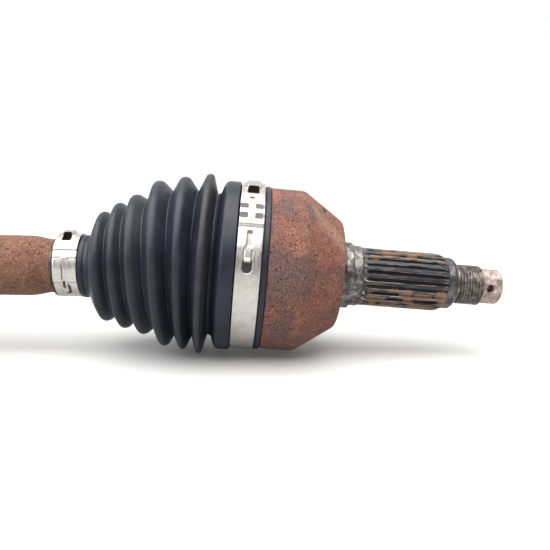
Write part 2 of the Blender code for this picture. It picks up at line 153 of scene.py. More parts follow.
def turned(name, rows, place, materials, segments, radius=None, marks=None, shape=None, closed=False,
           sharp=40.0):
    """Turns rows about the axle. radius(x, r, a, zone) may change r, and shape moves the points."""
    rows = np.asarray(rows, float)
    a = np.broadcast_to(2 * np.pi * np.arange(segments) / segments, (len(rows), segments))
    x, r, zone = (np.repeat(rows[:, i:i + 1], segments, 1) for i in range(3))
    if radius:
        r = radius(x, r, a, zone)
    points = around(x, r, a)
    if shape:
        points = shape(points)
    count = len(rows)
    first = np.arange(count if closed else count - 1)[:, None]
    k = np.arange(segments)[None, :]
    after, beside = (first + 1) % count, (k + 1) % segments
    quads = np.stack(np.broadcast_arrays(first * segments + k, after * segments + k,
                                         after * segments + beside, first * segments + beside), -1)
    face_zone = np.repeat(rows[(first[:, 0] + 1) % count, 2], segments)
    labels = {label: get(x, r, a, zone) for label, get in (marks or {}).items()}
    return made(name, points, quads.reshape(-1, 4), place, materials, face_zone, labels, sharp)


def settle(piece, body, node):
    """The piece rides on a body, and the CAD node in its place is hidden."""
    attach(piece, body)
    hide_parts(node)


def spline_groove(a, teeth, land=0.38, floor=0.68):
    """0 on a tooth's land and 1 on the floor between two teeth."""
    away = np.abs((a * teeth / (2 * np.pi)) % 1.0 - 0.5) * 2
    return smooth((away - land) / (floor - land))


# ---- material tools -------------------------------------------------------------------------------
class Finish:
    """One material, and short names for its nodes."""

    def __init__(self, name, roughness=0.5, metallic=0.0, **sockets):
        self.material = bpy.data.materials.new(name)
        self.material.use_nodes = True
        self.tree = self.material.node_tree
        self.shader = self.tree.nodes["Principled BSDF"]
        self.set(Roughness=roughness, Metallic=metallic, **sockets)

    def set(self, **sockets):
        """Sets or links sockets of the shader, named with _ for a space."""
        for label, value in sockets.items():
            socket = self.shader.inputs[label.replace("_", " ")]
            if isinstance(value, bpy.types.NodeSocket):
                self.tree.links.new(value, socket)
            else:
                socket.default_value = value

    def node(self, kind, out=0, links=None, **settings):
        """An output of a new node with these inputs and settings."""
        made_node = self.tree.nodes.new(kind)
        for label, value in settings.items():
            setattr(made_node, label, value)
        for label, value in (links or {}).items():
            socket = made_node.inputs[label]
            if isinstance(value, bpy.types.NodeSocket):
                self.tree.links.new(value, socket)
            else:
                socket.default_value = value
        return made_node.outputs[out]

    def place(self, scale=(1.0, 1.0, 1.0)):
        """Points on the surface in metres, stretched by scale."""
        where = self.node("ShaderNodeTexCoord", "Object")
        return self.node("ShaderNodeMapping", links={"Vector": where, "Scale": scale})

    def noise(self, size_mm, detail=5.0, rough=0.6, scale=(1.0, 1.0, 1.0)):
        return self.node("ShaderNodeTexNoise", "Fac", {
            "Vector": self.place(scale), "Scale": 1.0 / (size_mm * MM), "Detail": detail,
            "Roughness": rough})

    def cells(self, size_mm, scale=(1.0, 1.0, 1.0)):
        """Distance to the nearest of many scattered points."""
        return self.node("ShaderNodeTexVoronoi", "Distance", {
            "Vector": self.place(scale), "Scale": 1.0 / (size_mm * MM)})

    def mark(self, label):
        """A number that the mesh carries on its points, or 0 where it has none."""
        return self.node("ShaderNodeAttribute", "Fac", attribute_name=label)

    def ramp(self, value, low, high, start=0.0, end=1.0):
        """Goes softly from start to end as the value goes from low to high."""
        return self.node("ShaderNodeMapRange", links={
            "Value": value, "From Min": low, "From Max": high, "To Min": start, "To Max": end},
            interpolation_type="SMOOTHSTEP")

    def math(self, operation, first, second=0.0):
        return self.node("ShaderNodeMath", links={0: first, 1: second}, operation=operation)

    def mix(self, share, first, second):
        """The first colour where the share is 0 and the second where it is 1."""
        made_node = self.tree.nodes.new("ShaderNodeMix")
        made_node.data_type = "RGBA"
        for socket, value in zip((made_node.inputs[0], made_node.inputs[6], made_node.inputs[7]),
                                 (share, first, second)):
            if isinstance(value, bpy.types.NodeSocket):
                self.tree.links.new(value, socket)
            elif isinstance(value, tuple):
                socket.default_value = (*value, 1.0)
            else:
                socket.default_value = value
        return made_node.outputs[2]

    def bump(self, height, depth_mm):
        return self.node("ShaderNodeBump", links={"Height": height, "Distance": depth_mm * MM})


# ---- materials ------------------------------------------------------------------------------------
def rust(name, reddish, orange, dark, patches):
    """Old rust: mottled brown skin, dark scale patches, black pits and pale grains."""
    f = Finish(name)
    broad, middle, fine = f.noise(17.0, 6.0, 0.62), f.noise(4.5, 6.0, 0.7), f.noise(0.9, 5.0, 0.75)
    color = f.mix(f.ramp(middle, 0.38, 0.66), reddish, orange)
    broad = f.math("ADD", broad, f.math("MULTIPLY", f.mark("crust"), 0.055))
    color = f.mix(f.ramp(broad, 0.60 - 0.12 * patches, 0.70 - 0.1 * patches, 0.0, 0.85), color, dark)
    color = f.mix(f.ramp(fine, 0.40, 0.62, 0.0, 0.62), color, (0.030, 0.016, 0.014))
    glow = f.ramp(f.noise(0.7, 4.0, 0.8, (1.0, 1.1, 0.9)), 0.50, 0.68, 0.0, 0.55)
    color = f.mix(glow, color, f.mix(0.5, orange, (0.55, 0.32, 0.20)))
    pit = f.ramp(f.cells(1.9), 0.10, 0.28, 1.0, 0.0)
    pit = f.math("MULTIPLY", pit, f.ramp(f.noise(6.0, 3.0), 0.43, 0.53))
    color = f.mix(f.math("MULTIPLY", pit, patches), color, (0.018, 0.011, 0.012))
    grain = f.ramp(f.cells(1.1, scale=(1.0, 1.3, 0.9)), 0.03, 0.13, 1.0, 0.0)
    grain = f.math("MULTIPLY", grain, f.ramp(f.noise(3.0, 4.0), 0.48, 0.56))
    color = f.mix(f.math("MULTIPLY", grain, 0.7), color, (0.62, 0.36, 0.22))
    scrape = f.math("MULTIPLY", f.mark("scrape"), f.ramp(f.noise(1.0, 6.0, 0.8), 0.30, 0.70))
    color = f.mix(scrape, color, (0.40, 0.28, 0.17))
    # Painted shade: the dent is darkened to near black.
    color = f.mix(f.ramp(f.mark("dent"), 0.2, 0.6), color, (0.010, 0.007, 0.007))
    height = f.math("ADD", f.math("MULTIPLY", fine, 0.6), f.math("MULTIPLY", middle, 0.8))
    height = f.math("SUBTRACT", height, f.math("MULTIPLY", pit, 1.2))
    f.set(Base_Color=color, Roughness=f.ramp(fine, 0.3, 0.7, 0.72, 0.95),
          Normal=f.bump(height, 0.7))
    return f.material


def steel(name, bright, dull, rusty, rough, rust_from, metallic=0.85):
    """Bare steel, worn bright in places and dull or rusty in others."""
    f = Finish(name, metallic=metallic)
    wear, fine = f.noise(3.0, 6.0, 0.65), f.noise(0.6, 4.0, 0.7)
    color = f.mix(f.ramp(wear, 0.4, 0.64), dull, bright)
    spot = f.ramp(f.noise(2.2, 6.0, 0.75), rust_from, rust_from + 0.1)
    color = f.mix(spot, color, rusty)
    shine = f.math("ADD", f.ramp(fine, 0.3, 0.7, rough - 0.08, rough + 0.16),
                   f.math("MULTIPLY", spot, 0.3))
    f.set(Base_Color=color, Roughness=shine, Normal=f.bump(f.math("ADD", fine, wear), 0.08))
    return f.material


def spline_steel(name):
    """Grey lands with bright edges that are partly worn and partly a painted highlight, grooves painted
    black as shade, and rust that fills some of the grooves.
    """
    f = Finish(name, metallic=0.6)
    wear = f.noise(2.0, 6.0, 0.7, (0.25, 1.0, 1.0))
    land = f.mix(f.ramp(wear, 0.42, 0.68), (0.022, 0.022, 0.027), (0.085, 0.080, 0.078))
    # Bright lines along the tooth edges: partly wear, partly a painted highlight.
    edge_wear_and_highlight = f.math("MULTIPLY", f.ramp(f.mark("groove"), 0.0, 0.12),
                  f.ramp(f.mark("groove"), 0.3, 0.6, 1.0, 0.0))
    edge_wear_and_highlight = f.math("MULTIPLY", edge_wear_and_highlight, f.ramp(f.noise(1.6, 5.0, 0.7, (0.15, 1.0, 1.0)), 0.40, 0.60))
    land = f.mix(edge_wear_and_highlight, land, (0.42, 0.39, 0.36))
    # Painted shade: the groove floors are coloured near black.
    color = f.mix(f.mark("groove"), land, (0.007, 0.007, 0.009))
    ragged = f.math("ADD", f.mark("rust"), f.ramp(f.noise(1.2, 5.0, 0.8), 0.2, 0.8, -0.35, 0.35))
    stain = f.mix(f.noise(1.5, 5.0, 0.8), (0.085, 0.045, 0.027), (0.290, 0.170, 0.102))
    share = f.ramp(ragged, 0.42, 0.58)
    color = f.mix(share, color, stain)
    f.set(Base_Color=color, Roughness=f.math("ADD", f.ramp(wear, 0.3, 0.7, 0.34, 0.5),
                                             f.math("MULTIPLY", share, 0.35)),
          Metallic=f.math("SUBTRACT", 0.6, f.math("MULTIPLY", share, 0.55)),
          Normal=f.bump(wear, 0.12))
    return f.material


def band_steel(name):
    """Rolled stainless strip: fine lines along the strip, and painted shade in its holes, slots and gaps and
    along its steps.
    """
    f = Finish(name, Specular_IOR_Level=0.1)
    lines = f.noise(0.5, 4.0, 0.6, (1.0, 0.12, 0.12))
    smear = f.noise(7.0, 4.0, 0.6)
    color = f.mix(f.ramp(smear, 0.35, 0.65), (0.43, 0.405, 0.37), (0.52, 0.495, 0.455))
    # Painted shade: where the dark mark is high the strip turns near black, dull and not metallic.
    color = f.mix(f.mark("dark"), color, (0.012, 0.010, 0.009))
    f.set(Base_Color=color, Metallic=f.ramp(f.mark("dark"), 0.0, 0.8, 0.92, 0.0),
          Roughness=f.math("ADD", f.ramp(lines, 0.3, 0.7, 0.26, 0.40),
                           f.math("MULTIPLY", f.mark("dark"), 0.5)),
          Normal=f.bump(lines, 0.02))
    return f.material


def rubber(name):
    """Black moulded boot rubber with a thin film of dust."""
    f = Finish(name, Specular_IOR_Level=0.26)
    cloudy, fine = f.noise(14.0, 5.0, 0.6), f.noise(1.0, 5.0, 0.7)
    color = f.mix(f.ramp(cloudy, 0.35, 0.7), (0.0085, 0.0099, 0.0170), (0.0155, 0.0180, 0.0285))
    dust = f.math("MULTIPLY", f.mark("dust"), f.ramp(f.noise(5.0, 6.0, 0.7), 0.3, 0.62, 0.25, 1.0))
    color = f.mix(dust, color, (0.062, 0.057, 0.045))
    speck = f.math("MULTIPLY", f.ramp(f.cells(3.1), 0.02, 0.07, 1.0, 0.0),
                   f.ramp(f.noise(9.0, 3.0), 0.56, 0.62))
    color = f.mix(f.math("MULTIPLY", speck, 0.5), color, (0.35, 0.34, 0.30))
    f.set(Base_Color=color, Roughness=f.math("ADD", f.ramp(fine, 0.3, 0.7, 0.36, 0.46),
                                             f.math("MULTIPLY", dust, 0.35)),
          Normal=f.bump(f.math("ADD", fine, cloudy), 0.05))
    return f.material


RUST = rust("rust_bell", (0.162, 0.045, 0.032), (0.245, 0.090, 0.048), (0.078, 0.045, 0.045), 0.9)
SHAFT_RUST = rust("rust_shaft", (0.132, 0.050, 0.027), (0.185, 0.078, 0.035), (0.088, 0.044, 0.030), 0.5)
TULIP_RUST = rust("rust_tulip", (0.145, 0.055, 0.038), (0.175, 0.076, 0.042), (0.072, 0.044, 0.042), 0.8)
GROUND = steel("ground_steel_greased", (0.56, 0.55, 0.53), (0.36, 0.35, 0.34), (0.10, 0.07, 0.05), 0.26,
               0.66, metallic=1.0)
SPRING = steel("spring_steel_blued", (0.16, 0.16, 0.18), (0.07, 0.07, 0.08), (0.12, 0.06, 0.03), 0.34,
               0.62, metallic=1.0)
RING = steel("worn_ring_steel", (0.24, 0.22, 0.20), (0.068, 0.064, 0.060), (0.060, 0.040, 0.030), 0.38, 0.54)
COLLAR = steel("collar_steel", (0.13, 0.125, 0.122), (0.048, 0.048, 0.054), (0.12, 0.055, 0.032), 0.33, 0.66)
THREAD = steel("thread_steel", (0.27, 0.245, 0.22), (0.10, 0.088, 0.080), (0.14, 0.075, 0.050), 0.42, 0.56)
PILOT = steel("pilot_scraped", (0.42, 0.345, 0.31), (0.19, 0.125, 0.10), (0.075, 0.040, 0.030), 0.42, 0.60,
              metallic=0.35)
SPLINE = spline_steel("spline_steel")
BAND = band_steel("stainless_strip")
RUBBER = rubber("boot_rubber_dusty")


# ---- wheel-end housing ----------------------------------------------------------------------------
CAVITY, BELL_SKIN, RINGS, SPLINES, COLLAR_ZONE, THREAD_ZONE, PILOT_ZONE = range(7)
SPHERE_R, BALL_CIRCLE_R, TRACK_R, TRACK_REACH = 27.8, 25.5, 9.14, math.radians(44)
MOUTH_X, FLOOR_X = -11.0, 22.5
SKIRT_X, BELL_R, RIM_R = -24.0, 39.5, 38.4
HUB_TEETH, HUB_R, HUB_DEPTH = 25, 14.4, 1.3
SPLINE_START, SPLINE_FULL, SPLINE_END = 41.6, 44.2, 84.0
THREAD_R, THREAD_PITCH, THREAD_DEPTH, THREAD_FROM, THREAD_TO = 9.95, 1.5, 0.92, 90.6, 102.4
CROSS_HOLE_X, CROSS_HOLE_R = 106.2, 2.2
DENT_X, DENT_ANGLE, DENT_DEPTH = 19.8, math.radians(17), 0.6


def sphere_rows(radius, from_x, to_x, count):
    """Points (x, r) on a sphere about the joint centre."""
    xs = [from_x + (to_x - from_x) * i / count for i in range(count + 1)]
    return [(x, math.sqrt(radius ** 2 - x ** 2)) for x in xs]


def track_radius(x, r, a):
    """The hollow's radius where the six ball tracks are cut into it, found in steps of 0.1 mm."""
    out = r.copy()
    turn = (a - math.radians(60)) % math.radians(60) - math.radians(30)
    for trial in np.arange(14.0, 36.5, 0.1):
        up = trial * np.cos(turn)
        in_track = (np.hypot(x, up) - BALL_CIRCLE_R) ** 2 + (trial * np.sin(turn)) ** 2 < TRACK_R ** 2
        in_track &= np.abs(np.arctan2(x, up)) < TRACK_REACH
        out = np.where(in_track, np.maximum(out, trial), out)
    return out


def thread_depth(x, a):
    """A right-hand 60 degree thread: 0 on its crest and 1 at its root."""
    crest_flat, flank = 0.125, 0.65
    phase = ((x - THREAD_PITCH * a / (2 * np.pi)) / THREAD_PITCH) % 1.0
    cut = np.clip((np.abs(phase - 0.5) * 2 - crest_flat) / flank, 0, 1)
    ends = smooth((x - THREAD_FROM) / 1.2) * smooth((THREAD_TO + 0.6 - x) / 0.8)
    return cut * ends


def hub_groove(x, r, a, zone):
    """0 on the hub spline's lands and 1 on its floors, fading out towards the rings."""
    return spline_groove(a, HUB_TEETH) * smooth((x - SPLINE_START) / (SPLINE_FULL - SPLINE_START))


def dent(x, r, a, zone):
    """A small deep dent near the top of the cone: 1 in its middle and 0 away from it. The rust finish paints
    it near black as shade.
    """
    turn = (a - DENT_ANGLE + np.pi) % (2 * np.pi) - np.pi
    return np.exp(-((x - DENT_X) / 1.3) ** 2 - (r * turn / 2.0) ** 2) * (zone == BELL_SKIN)


def housing_radius(x, r, a, zone):
    """Tracks in the hollow, a forged and pitted skin, the hub spline, the thread and worn rings."""
    cavity = (zone == CAVITY) & (r > 12)
    r = np.where(cavity, track_radius(x, r, a), r)
    points = around(x, r, a)
    skin = np.where(zone == BELL_SKIN, smooth((r - 17) / 3), 0.0)
    r = r + skin * (0.10 * relief(points, 7.0) + 0.05 * relief(points, 1.6, 3)
                    - 0.28 * pits(points + 50.0, 3.4, 0.28) * smooth(relief(points, 11.0) * 3 + 0.4))
    r = r - DENT_DEPTH * dent(x, r, a, zone)
    floor = HUB_R - HUB_DEPTH * hub_groove(x, r, a, zone)
    r = np.where((x > SPLINE_START) & (x < SPLINE_END), np.minimum(r, floor), r)
    thread = THREAD_R - THREAD_DEPTH * thread_depth(x, a)
    r = np.where((x > THREAD_FROM) & (x < THREAD_TO + 0.4) & (r > 8.8), np.minimum(r, thread), r)
    worn = np.where(np.isin(zone, (RINGS, COLLAR_ZONE, PILOT_ZONE)) & (r > 7), 1.0, 0.0)
    return r + worn * 0.04 * relief(points, 1.5, 3)


def groove_rust(x, r, a, zone):
    """How much rust fills a groove: blocks a few mm long, mostly low on the stub and at its top."""
    tooth = np.floor(a * HUB_TEETH / (2 * np.pi) + 0.5)
    block_length, tooth_step = 5.5, 2.7
    block = np.array([noise.noise(Vector((p / block_length, t * tooth_step, 0.0)))
                      for p, t in zip(x.ravel(), tooth.ravel())]).reshape(x.shape)
    degrees = np.degrees(a)
    low = smooth((degrees - 96) / 14) * smooth((300 - degrees) / 60)
    high = smooth((48 - degrees) / 14) * 0.9
    return np.clip(np.maximum(low, high) * (0.55 + 1.3 * block), 0, 1) * np.where(x > 44, 1.0, 0.0)


def scraped(x, r, a, zone):
    """A pale scrape runs down the cone, high on the camera's side."""
    across = (np.degrees(a) - 40 - (x - 20) * 1.6) / 9
    return np.exp(-across ** 2) * smooth((x - 10) / 5) * smooth((31 - x) / 3) * 0.6


def cross_hole(housing):
    """The cotter hole, bored through the end of the stub."""
    along = [(-14, 0, 0), (-14, CROSS_HOLE_R, 0), (14, CROSS_HOLE_R, 0), (14, 0, 0)]
    across = Matrix.Translation((CROSS_HOLE_X * MM, 0, 0)) @ Matrix.Rotation(math.pi / 2, 4, "Z")
    hole = turned("cross_hole_cutter", along, BELL @ across, [PILOT], 40)
    cut = housing.modifiers.new("cross_hole", "BOOLEAN")
    cut.operation, cut.solver, cut.object = "DIFFERENCE", "MANIFOLD", hole
    applied = bpy.data.meshes.new_from_object(housing.evaluated_get(bpy.context.evaluated_depsgraph_get()))
    housing.modifiers.clear()
    housing.data = applied
    bpy.data.objects.remove(hole)


def outer_housing():
    """The bell with its ball tracks, shoulder rings, splined stub, thread and pilot."""
    sphere = reversed(sphere_rows(SPHERE_R, MOUTH_X, FLOOR_X, 14))
    rows = rows_of([
        (CAVITY, 4.0, [(FLOOR_X, 0.0), (FLOOR_X, 16.3), *sphere, (SKIRT_X, 36.8)]),
        (CAVITY, 3.0, [(SKIRT_X, 36.8), (SKIRT_X, 37.8), (SKIRT_X + 0.6, RIM_R), (-7.8, RIM_R)]),
        (BELL_SKIN, 0.75, [(-7.8, RIM_R), (-5.8, RIM_R), (-5.8, BELL_R, 0.35), (10.5, BELL_R, 1.6),
                           (30.0, 26.4, 1.5), (30.0, 18.4, 0.8), (31.0, 17.3)]),
        (RINGS, 0.7, [(31.0, 17.3), (32.4, 17.0, 0.3), (32.6, 16.4, 0.2), (36.2, 16.4, 0.5),
                      (36.3, 15.0, 0.2), (40.7, 15.0, 0.4), (41.3, HUB_R)]),
        (SPLINES, 1.6, [(41.3, HUB_R), (80.4, HUB_R, 1.6), (83.4, 12.85)]),
        (COLLAR_ZONE, 0.7, [(83.4, 12.85), (87.0, 12.85, 0.7), (88.6, 11.4, 0.3), (88.6, 9.0)]),
        (THREAD_ZONE, 0.2, [(88.6, 9.0), (90.4, 9.0), (91.2, THREAD_R), (101.9, THREAD_R), (102.7, 8.7)]),
        (PILOT_ZONE, 0.9, [(102.7, 8.7), (111.4, 8.7, 0.8), (112.4, 7.7, 0.3), (112.4, 0.0)])])
    finishes = [GROUND, RUST, RING, SPLINE, COLLAR, THREAD, PILOT]
    marks = {"groove": hub_groove, "rust": groove_rust, "scrape": scraped, "dent": dent,
             "crust": lambda x, r, a, zone: smooth((15 - x) / 4)}
    housing = turned("wheel_joint_housing", rows, BELL, finishes, 12 * HUB_TEETH, housing_radius, marks)
    cross_hole(housing)
    settle(housing, "wheel_end", "outer_housing")


# ---- shaft ----------------------------------------------------------------------------------------
BARE, FORGED = range(2)
SMALL_TEETH = 24
SHAFT_SPLINE_R, SHAFT_TOOTH_DEPTH, SHAFT_SPLINE_X, SHAFT_SPLINE_HALF = 11.9, 0.9, 0.9, 13.5
BAR_R, SEAT_R, MIDDLE_R = 10.8, 12.5, 14.55


def shaft_radius(x, r, a, zone):
    """Splines at both ends, and a forged and pitted skin on the thick middle."""
    points = around(x, r, a)
    away = np.minimum(np.abs(x - SHAFT_SPLINE_X), np.abs(x + SPACING - SHAFT_SPLINE_X))
    teeth = spline_groove(a, SMALL_TEETH) * SHAFT_TOOTH_DEPTH * (away < SHAFT_SPLINE_HALF)
    r = np.where((r > 11.2) & (r < 12.0), r - teeth, r)
    skin = np.where(zone == FORGED, 1.0, 0.0)
    return r + skin * (0.09 * relief(points, 9.0) + 0.05 * relief(points, 1.8, 3)
                       - 0.2 * pits(points, 3.8, 0.26) * smooth(relief(points, 12.0) * 3 + 0.3))


def mirrored(line):
    """The same outline at the shaft's other end."""
    return [(-SPACING - x, *rest) for x, *rest in reversed(line)]


def shaft():
    """The half shaft: spline, circlip groove, bar and boot seat at each end, and a thick middle."""
    end = [(14.6, 0.0), (14.6, 10.0), (13.6, 11.0), (12.9, 11.0), (12.9, 10.4), (11.1, 10.4),
           (11.1, SHAFT_SPLINE_R), (-12.8, SHAFT_SPLINE_R), (-14.6, BAR_R), (-90.0, BAR_R, 1.0),
           (-92.6, SEAT_R, 1.0), (-107.0, SEAT_R)]
    middle = [(-107.0, SEAT_R), (-107.0, 12.9, 0.2), (-109.8, 12.9, 1.2), (-117.0, MIDDLE_R, 2.5)]
    rows = rows_of([(BARE, 3.0, end), (FORGED, 0.9, middle + mirrored(middle)), (BARE, 3.0, mirrored(end))])
    piece = turned("half_shaft", rows, OUTER, [GROUND, SHAFT_RUST], 240, shaft_radius)
    settle(piece, "shaft", "shaft")


# ---- gearbox-end housing --------------------------------------------------------------------------
HOLLOW, TULIP_SKIN, TURNED, STUB = range(4)
ROLLER_CIRCLE_R, WAY_R, LOBE_R, CORE_R = 21.0, 17.1, 33.4, 23.5
FLUTE_CENTRE_R, FLUTE_R, FLUTE_END_R = 47.0, 16.0, 7.0
STUB_R, STUB_TOOTH_DEPTH, STUB_SPLINE_X, STUB_END_X = 13.2, 1.1, -73.0, -110.0
RING_GROOVE_X, RING_GROOVE_R = -101.0, 11.2


def soft_min(p, q, width):
    """The smaller of two numbers, rounded off where they are about equal."""
    h = np.clip(0.5 + 0.5 * (q - p) / width, 0, 1)
    return q * (1 - h) + p * h - width * h * (1 - h)


def stub_groove(x, r, a, zone):
    """0 on the gearbox spline's lands and 1 on its floors, fading out towards the housing."""
    return spline_groove(a, SMALL_TEETH) * smooth((STUB_SPLINE_X - x) / 2)


def tulip_radius(x, r, a, zone):
    """Three roller ways inside, three flutes outside, a forged skin, and the stub's spline."""
    third = math.radians(120)
    lobe = (a + third / 2) % third - third / 2
    flute = a % third - third / 2
    way = ROLLER_CIRCLE_R * np.cos(lobe) + np.sqrt(
        np.maximum(WAY_R ** 2 - (ROLLER_CIRCLE_R * np.sin(lobe)) ** 2, 0))
    hollow = np.where((zone == HOLLOW) & (r > CORE_R - 0.5), np.maximum(r, np.minimum(way, LOBE_R)), r)
    reach = np.interp(x, [-2.0, 5.0], [FLUTE_R, FLUTE_END_R])
    inside = reach ** 2 - (FLUTE_CENTRE_R * np.sin(flute)) ** 2
    wall = np.where(inside > 0, FLUTE_CENTRE_R * np.cos(flute) - np.sqrt(np.maximum(inside, 0)), 99.0)
    points = around(x, r, a)
    skin = r + 0.10 * relief(points, 8.0) - 0.2 * pits(points, 3.6, 0.26)
    forged = np.where((zone == TULIP_SKIN) & (x < 5.4) & (r > 26), soft_min(skin, wall, 2.4), r)
    teeth = STUB_TOOTH_DEPTH * stub_groove(x, r, a, zone) * (x > -108.5)
    stub = np.where((zone == STUB) & (r > 13.0), r - teeth, r)
    return np.where(zone == HOLLOW, hollow, np.where(zone == TULIP_SKIN, forged, stub))


def inner_housing():
    """The fluted tulip with its seal journal and its splined stub."""
    mouth_x = -SKIRT_X
    rows = rows_of([
        (HOLLOW, 2.0, [(-38.0, 0.0), (-38.0, CORE_R), (19.0, CORE_R), (mouth_x, CORE_R + 5.0),
                       (mouth_x, 37.8)]),
        (TURNED, 2.0, [(mouth_x, 37.8), (mouth_x - 0.6, RIM_R), (5.8, RIM_R)]),
        (TULIP_SKIN, 0.9, [(5.8, RIM_R), (5.8, BELL_R, 0.4), (-32.0, BELL_R, 3.0), (-40.0, 36.0, 2.5),
                           (-45.0, 29.0, 1.5), (-45.0, 21.5, 1.5), (-48.0, 17.5, 1.0)]),
        (TURNED, 1.5, [(-48.0, 17.5), (-67.0, 17.5, 0.6), (-69.0, 16.5, 0.5), (-69.0, 12.0)]),
        (STUB, 0.9, [(-69.0, 12.0), (-71.0, 12.0), (STUB_SPLINE_X, STUB_R),
                     (RING_GROOVE_X + 1.4, STUB_R), (RING_GROOVE_X + 1.4, RING_GROOVE_R),
                     (RING_GROOVE_X - 1.4, RING_GROOVE_R), (RING_GROOVE_X - 1.4, STUB_R),
                     (-107.4, STUB_R, 0.8), (STUB_END_X, 10.8, 0.4), (STUB_END_X, 0.0)])])
    piece = turned("tripod_housing", rows, INNER, [GROUND, TULIP_RUST, COLLAR, SPLINE], 240, tulip_radius,
                   {"groove": stub_groove})
    settle(piece, "gearbox_end", "inner_housing")


def snap_ring():
    """The round-wire ring in the stub's groove, open below."""
    count, sides, wire_r, ring_r, gap = 120, 14, 1.1, 12.6, math.radians(9)
    a = math.radians(140) + gap + np.linspace(0, 2 * np.pi - 2 * gap, count)
    b = 2 * np.pi * np.arange(sides) / sides
    along = np.linspace(0, 1, count)
    rounding = 80
    grow = np.minimum(1.0, np.sqrt(along * (1 - along) * rounding))
    grow[0] = grow[-1] = 0.0
    x = RING_GROOVE_X + wire_r * grow[:, None] * np.cos(b)
    r = ring_r + wire_r * grow[:, None] * np.sin(b)
    points = around(x, r, np.broadcast_to(a[:, None], x.shape))
    first, k = np.arange(count - 1)[:, None], np.arange(sides)[None, :]
    quads = np.stack(np.broadcast_arrays(
        first * sides + k, (first + 1) * sides + k, (first + 1) * sides + (k + 1) % sides,
        first * sides + (k + 1) % sides), -1).reshape(-1, 4)
    piece = made("stub_round_ring", points, quads, INNER, [SPRING])
    settle(piece, "gearbox_end", "stub_snap_ring")


# ---- boots ----------------------------------------------------------------------------------------
RIB_R, RIB_X = 43.9, 35.2
NECK, CUFF = 106.2, 6.1
# Ribs from the neck to the cuff: peaks and the valleys after them (x, radius), the crests' half widths,
# and how dusty each rib's flank and crest are.
PEAKS = [(83.1, 26.7), (74.9, 30.6), (66.3, 34.1), (55.6, 40.2), (45.0, 42.0), (RIB_X, RIB_R)]
VALLEYS = [(78.9, 24.0), (70.6, 27.6), (60.6, 31.0), (49.9, 34.6), (39.7, 35.0), (31.4, 34.4)]
CREST_HALF = [1.1, 1.1, 1.2, 1.4, 1.3, 1.15]
FLANK_DUST = [0.10, 0.10, 0.12, 0.18, 0.18, 0.42]
CREST_DUST = [0.10, 0.10, 0.30, 0.24, 0.10, 0.18]
BEND_FROM, BEND_TO, LEAN = 90.0, 26.0, 1.3
WALL, SEAT_INNER_R, CUFF_INNER_R, CUFF_R, LARGE_SEAT_R, LIP_R = 1.5, 12.9, 38.7, 41.2, 39.4, 40.0


def boot_lines(largest_r):
    """The boot's outside and inside, from its neck to its cuff, as x measured from the joint centre."""
    outside = [(NECK, SEAT_INNER_R), (NECK, 14.6, 0.3), (105.2, 14.7, 0.3), (105.0, 14.0), (93.9, 14.0),
               (93.7, 15.2, 0.3), (91.5, 15.3, 0.3), (91.2, 14.9, 0.3), (88.6, 15.4, 1.0), (87.2, 21.0, 1.2)]
    inside = [(NECK, SEAT_INNER_R), (90.0, 13.3), (86.4, 17.5, 1.0)]
    for (px, pr), (vx, vr), half in zip(PEAKS, VALLEYS, CREST_HALF):
        pr *= largest_r / RIB_R
        outside += [(px + half, pr, 2.6), (px - half, pr, 2.6), (vx, vr, 0.9)]
        inside += [(px, pr - 2.6, 0.8), (vx + 1.5, vr - WALL, 0.6), (vx - 1.5, vr - WALL, 0.6)]
    outside += [(29.6, 35.2, 0.5), (28.6, 38.2, 0.6), (27.3, 40.6, 0.8), (26.0, CUFF_R, 0.6),
                (20.6, CUFF_R, 0.5), (20.2, LARGE_SEAT_R, 0.3), (8.6, LARGE_SEAT_R), (8.4, LIP_R, 0.3),
                (6.2, LIP_R, 0.3), (CUFF, CUFF_INNER_R)]
    inside += [(26.0, 36.2, 0.5), (24.4, CUFF_INNER_R), (CUFF, CUFF_INNER_R)]
    return [[tuple(p) for p in rounded(line, 6)] for line in (outside, inside)]


def clipped(line, high, low):
    """The part of a line between two stations."""
    out = []
    for p, q in zip(line, line[1:]):
        for limit in (high, low):
            if (p[0] - limit) * (q[0] - limit) < 0:
                t = (p[0] - limit) / (p[0] - q[0])
                out.append((limit, p[1] + (q[1] - p[1]) * t))
        if low <= q[0] <= high:
            out.append(q)
    if low <= line[0][0] <= high:
        out.insert(0, line[0])
    return out


def bent(bend):
    """Moves a straight boot's points to where the bent joint holds them."""
    def shape(points):
        x, y, z = points[..., 0], points[..., 1], points[..., 2]
        share = smooth((BEND_FROM - np.abs(x)) / (BEND_FROM - BEND_TO))
        t = np.clip((BEND_FROM - np.abs(x)) / (BEND_FROM - RIB_X), 0, 1)
        lean, turn = -LEAN * np.sin(np.pi * t) * bend, share * bend
        lx, lz = x + z * np.sin(lean), z * np.cos(lean)
        return np.stack([lx * np.cos(turn) + lz * np.sin(turn), y,
                         -lx * np.sin(turn) + lz * np.cos(turn)], -1)
    return shape


def rib_dust(x, r, a, zone):
    """Dust on the crests and on the flanks that face the cuff, most of all on the largest rib."""
    away = np.abs(x)
    share = np.zeros_like(x)
    for (px, _), flank_dust, crest_dust in zip(PEAKS, FLANK_DUST, CREST_DUST):
        flank = smooth((px - away + 1.0) / 1.2) * smooth((away - px + 4.0) / 2.0)
        crest = np.exp(-((away - px - 0.8) / 0.45) ** 2)
        share = np.maximum(share, np.maximum(flank * flank_dust, crest * crest_dust))
    return share * (0.72 + 0.28 * np.cos(a - 0.9))


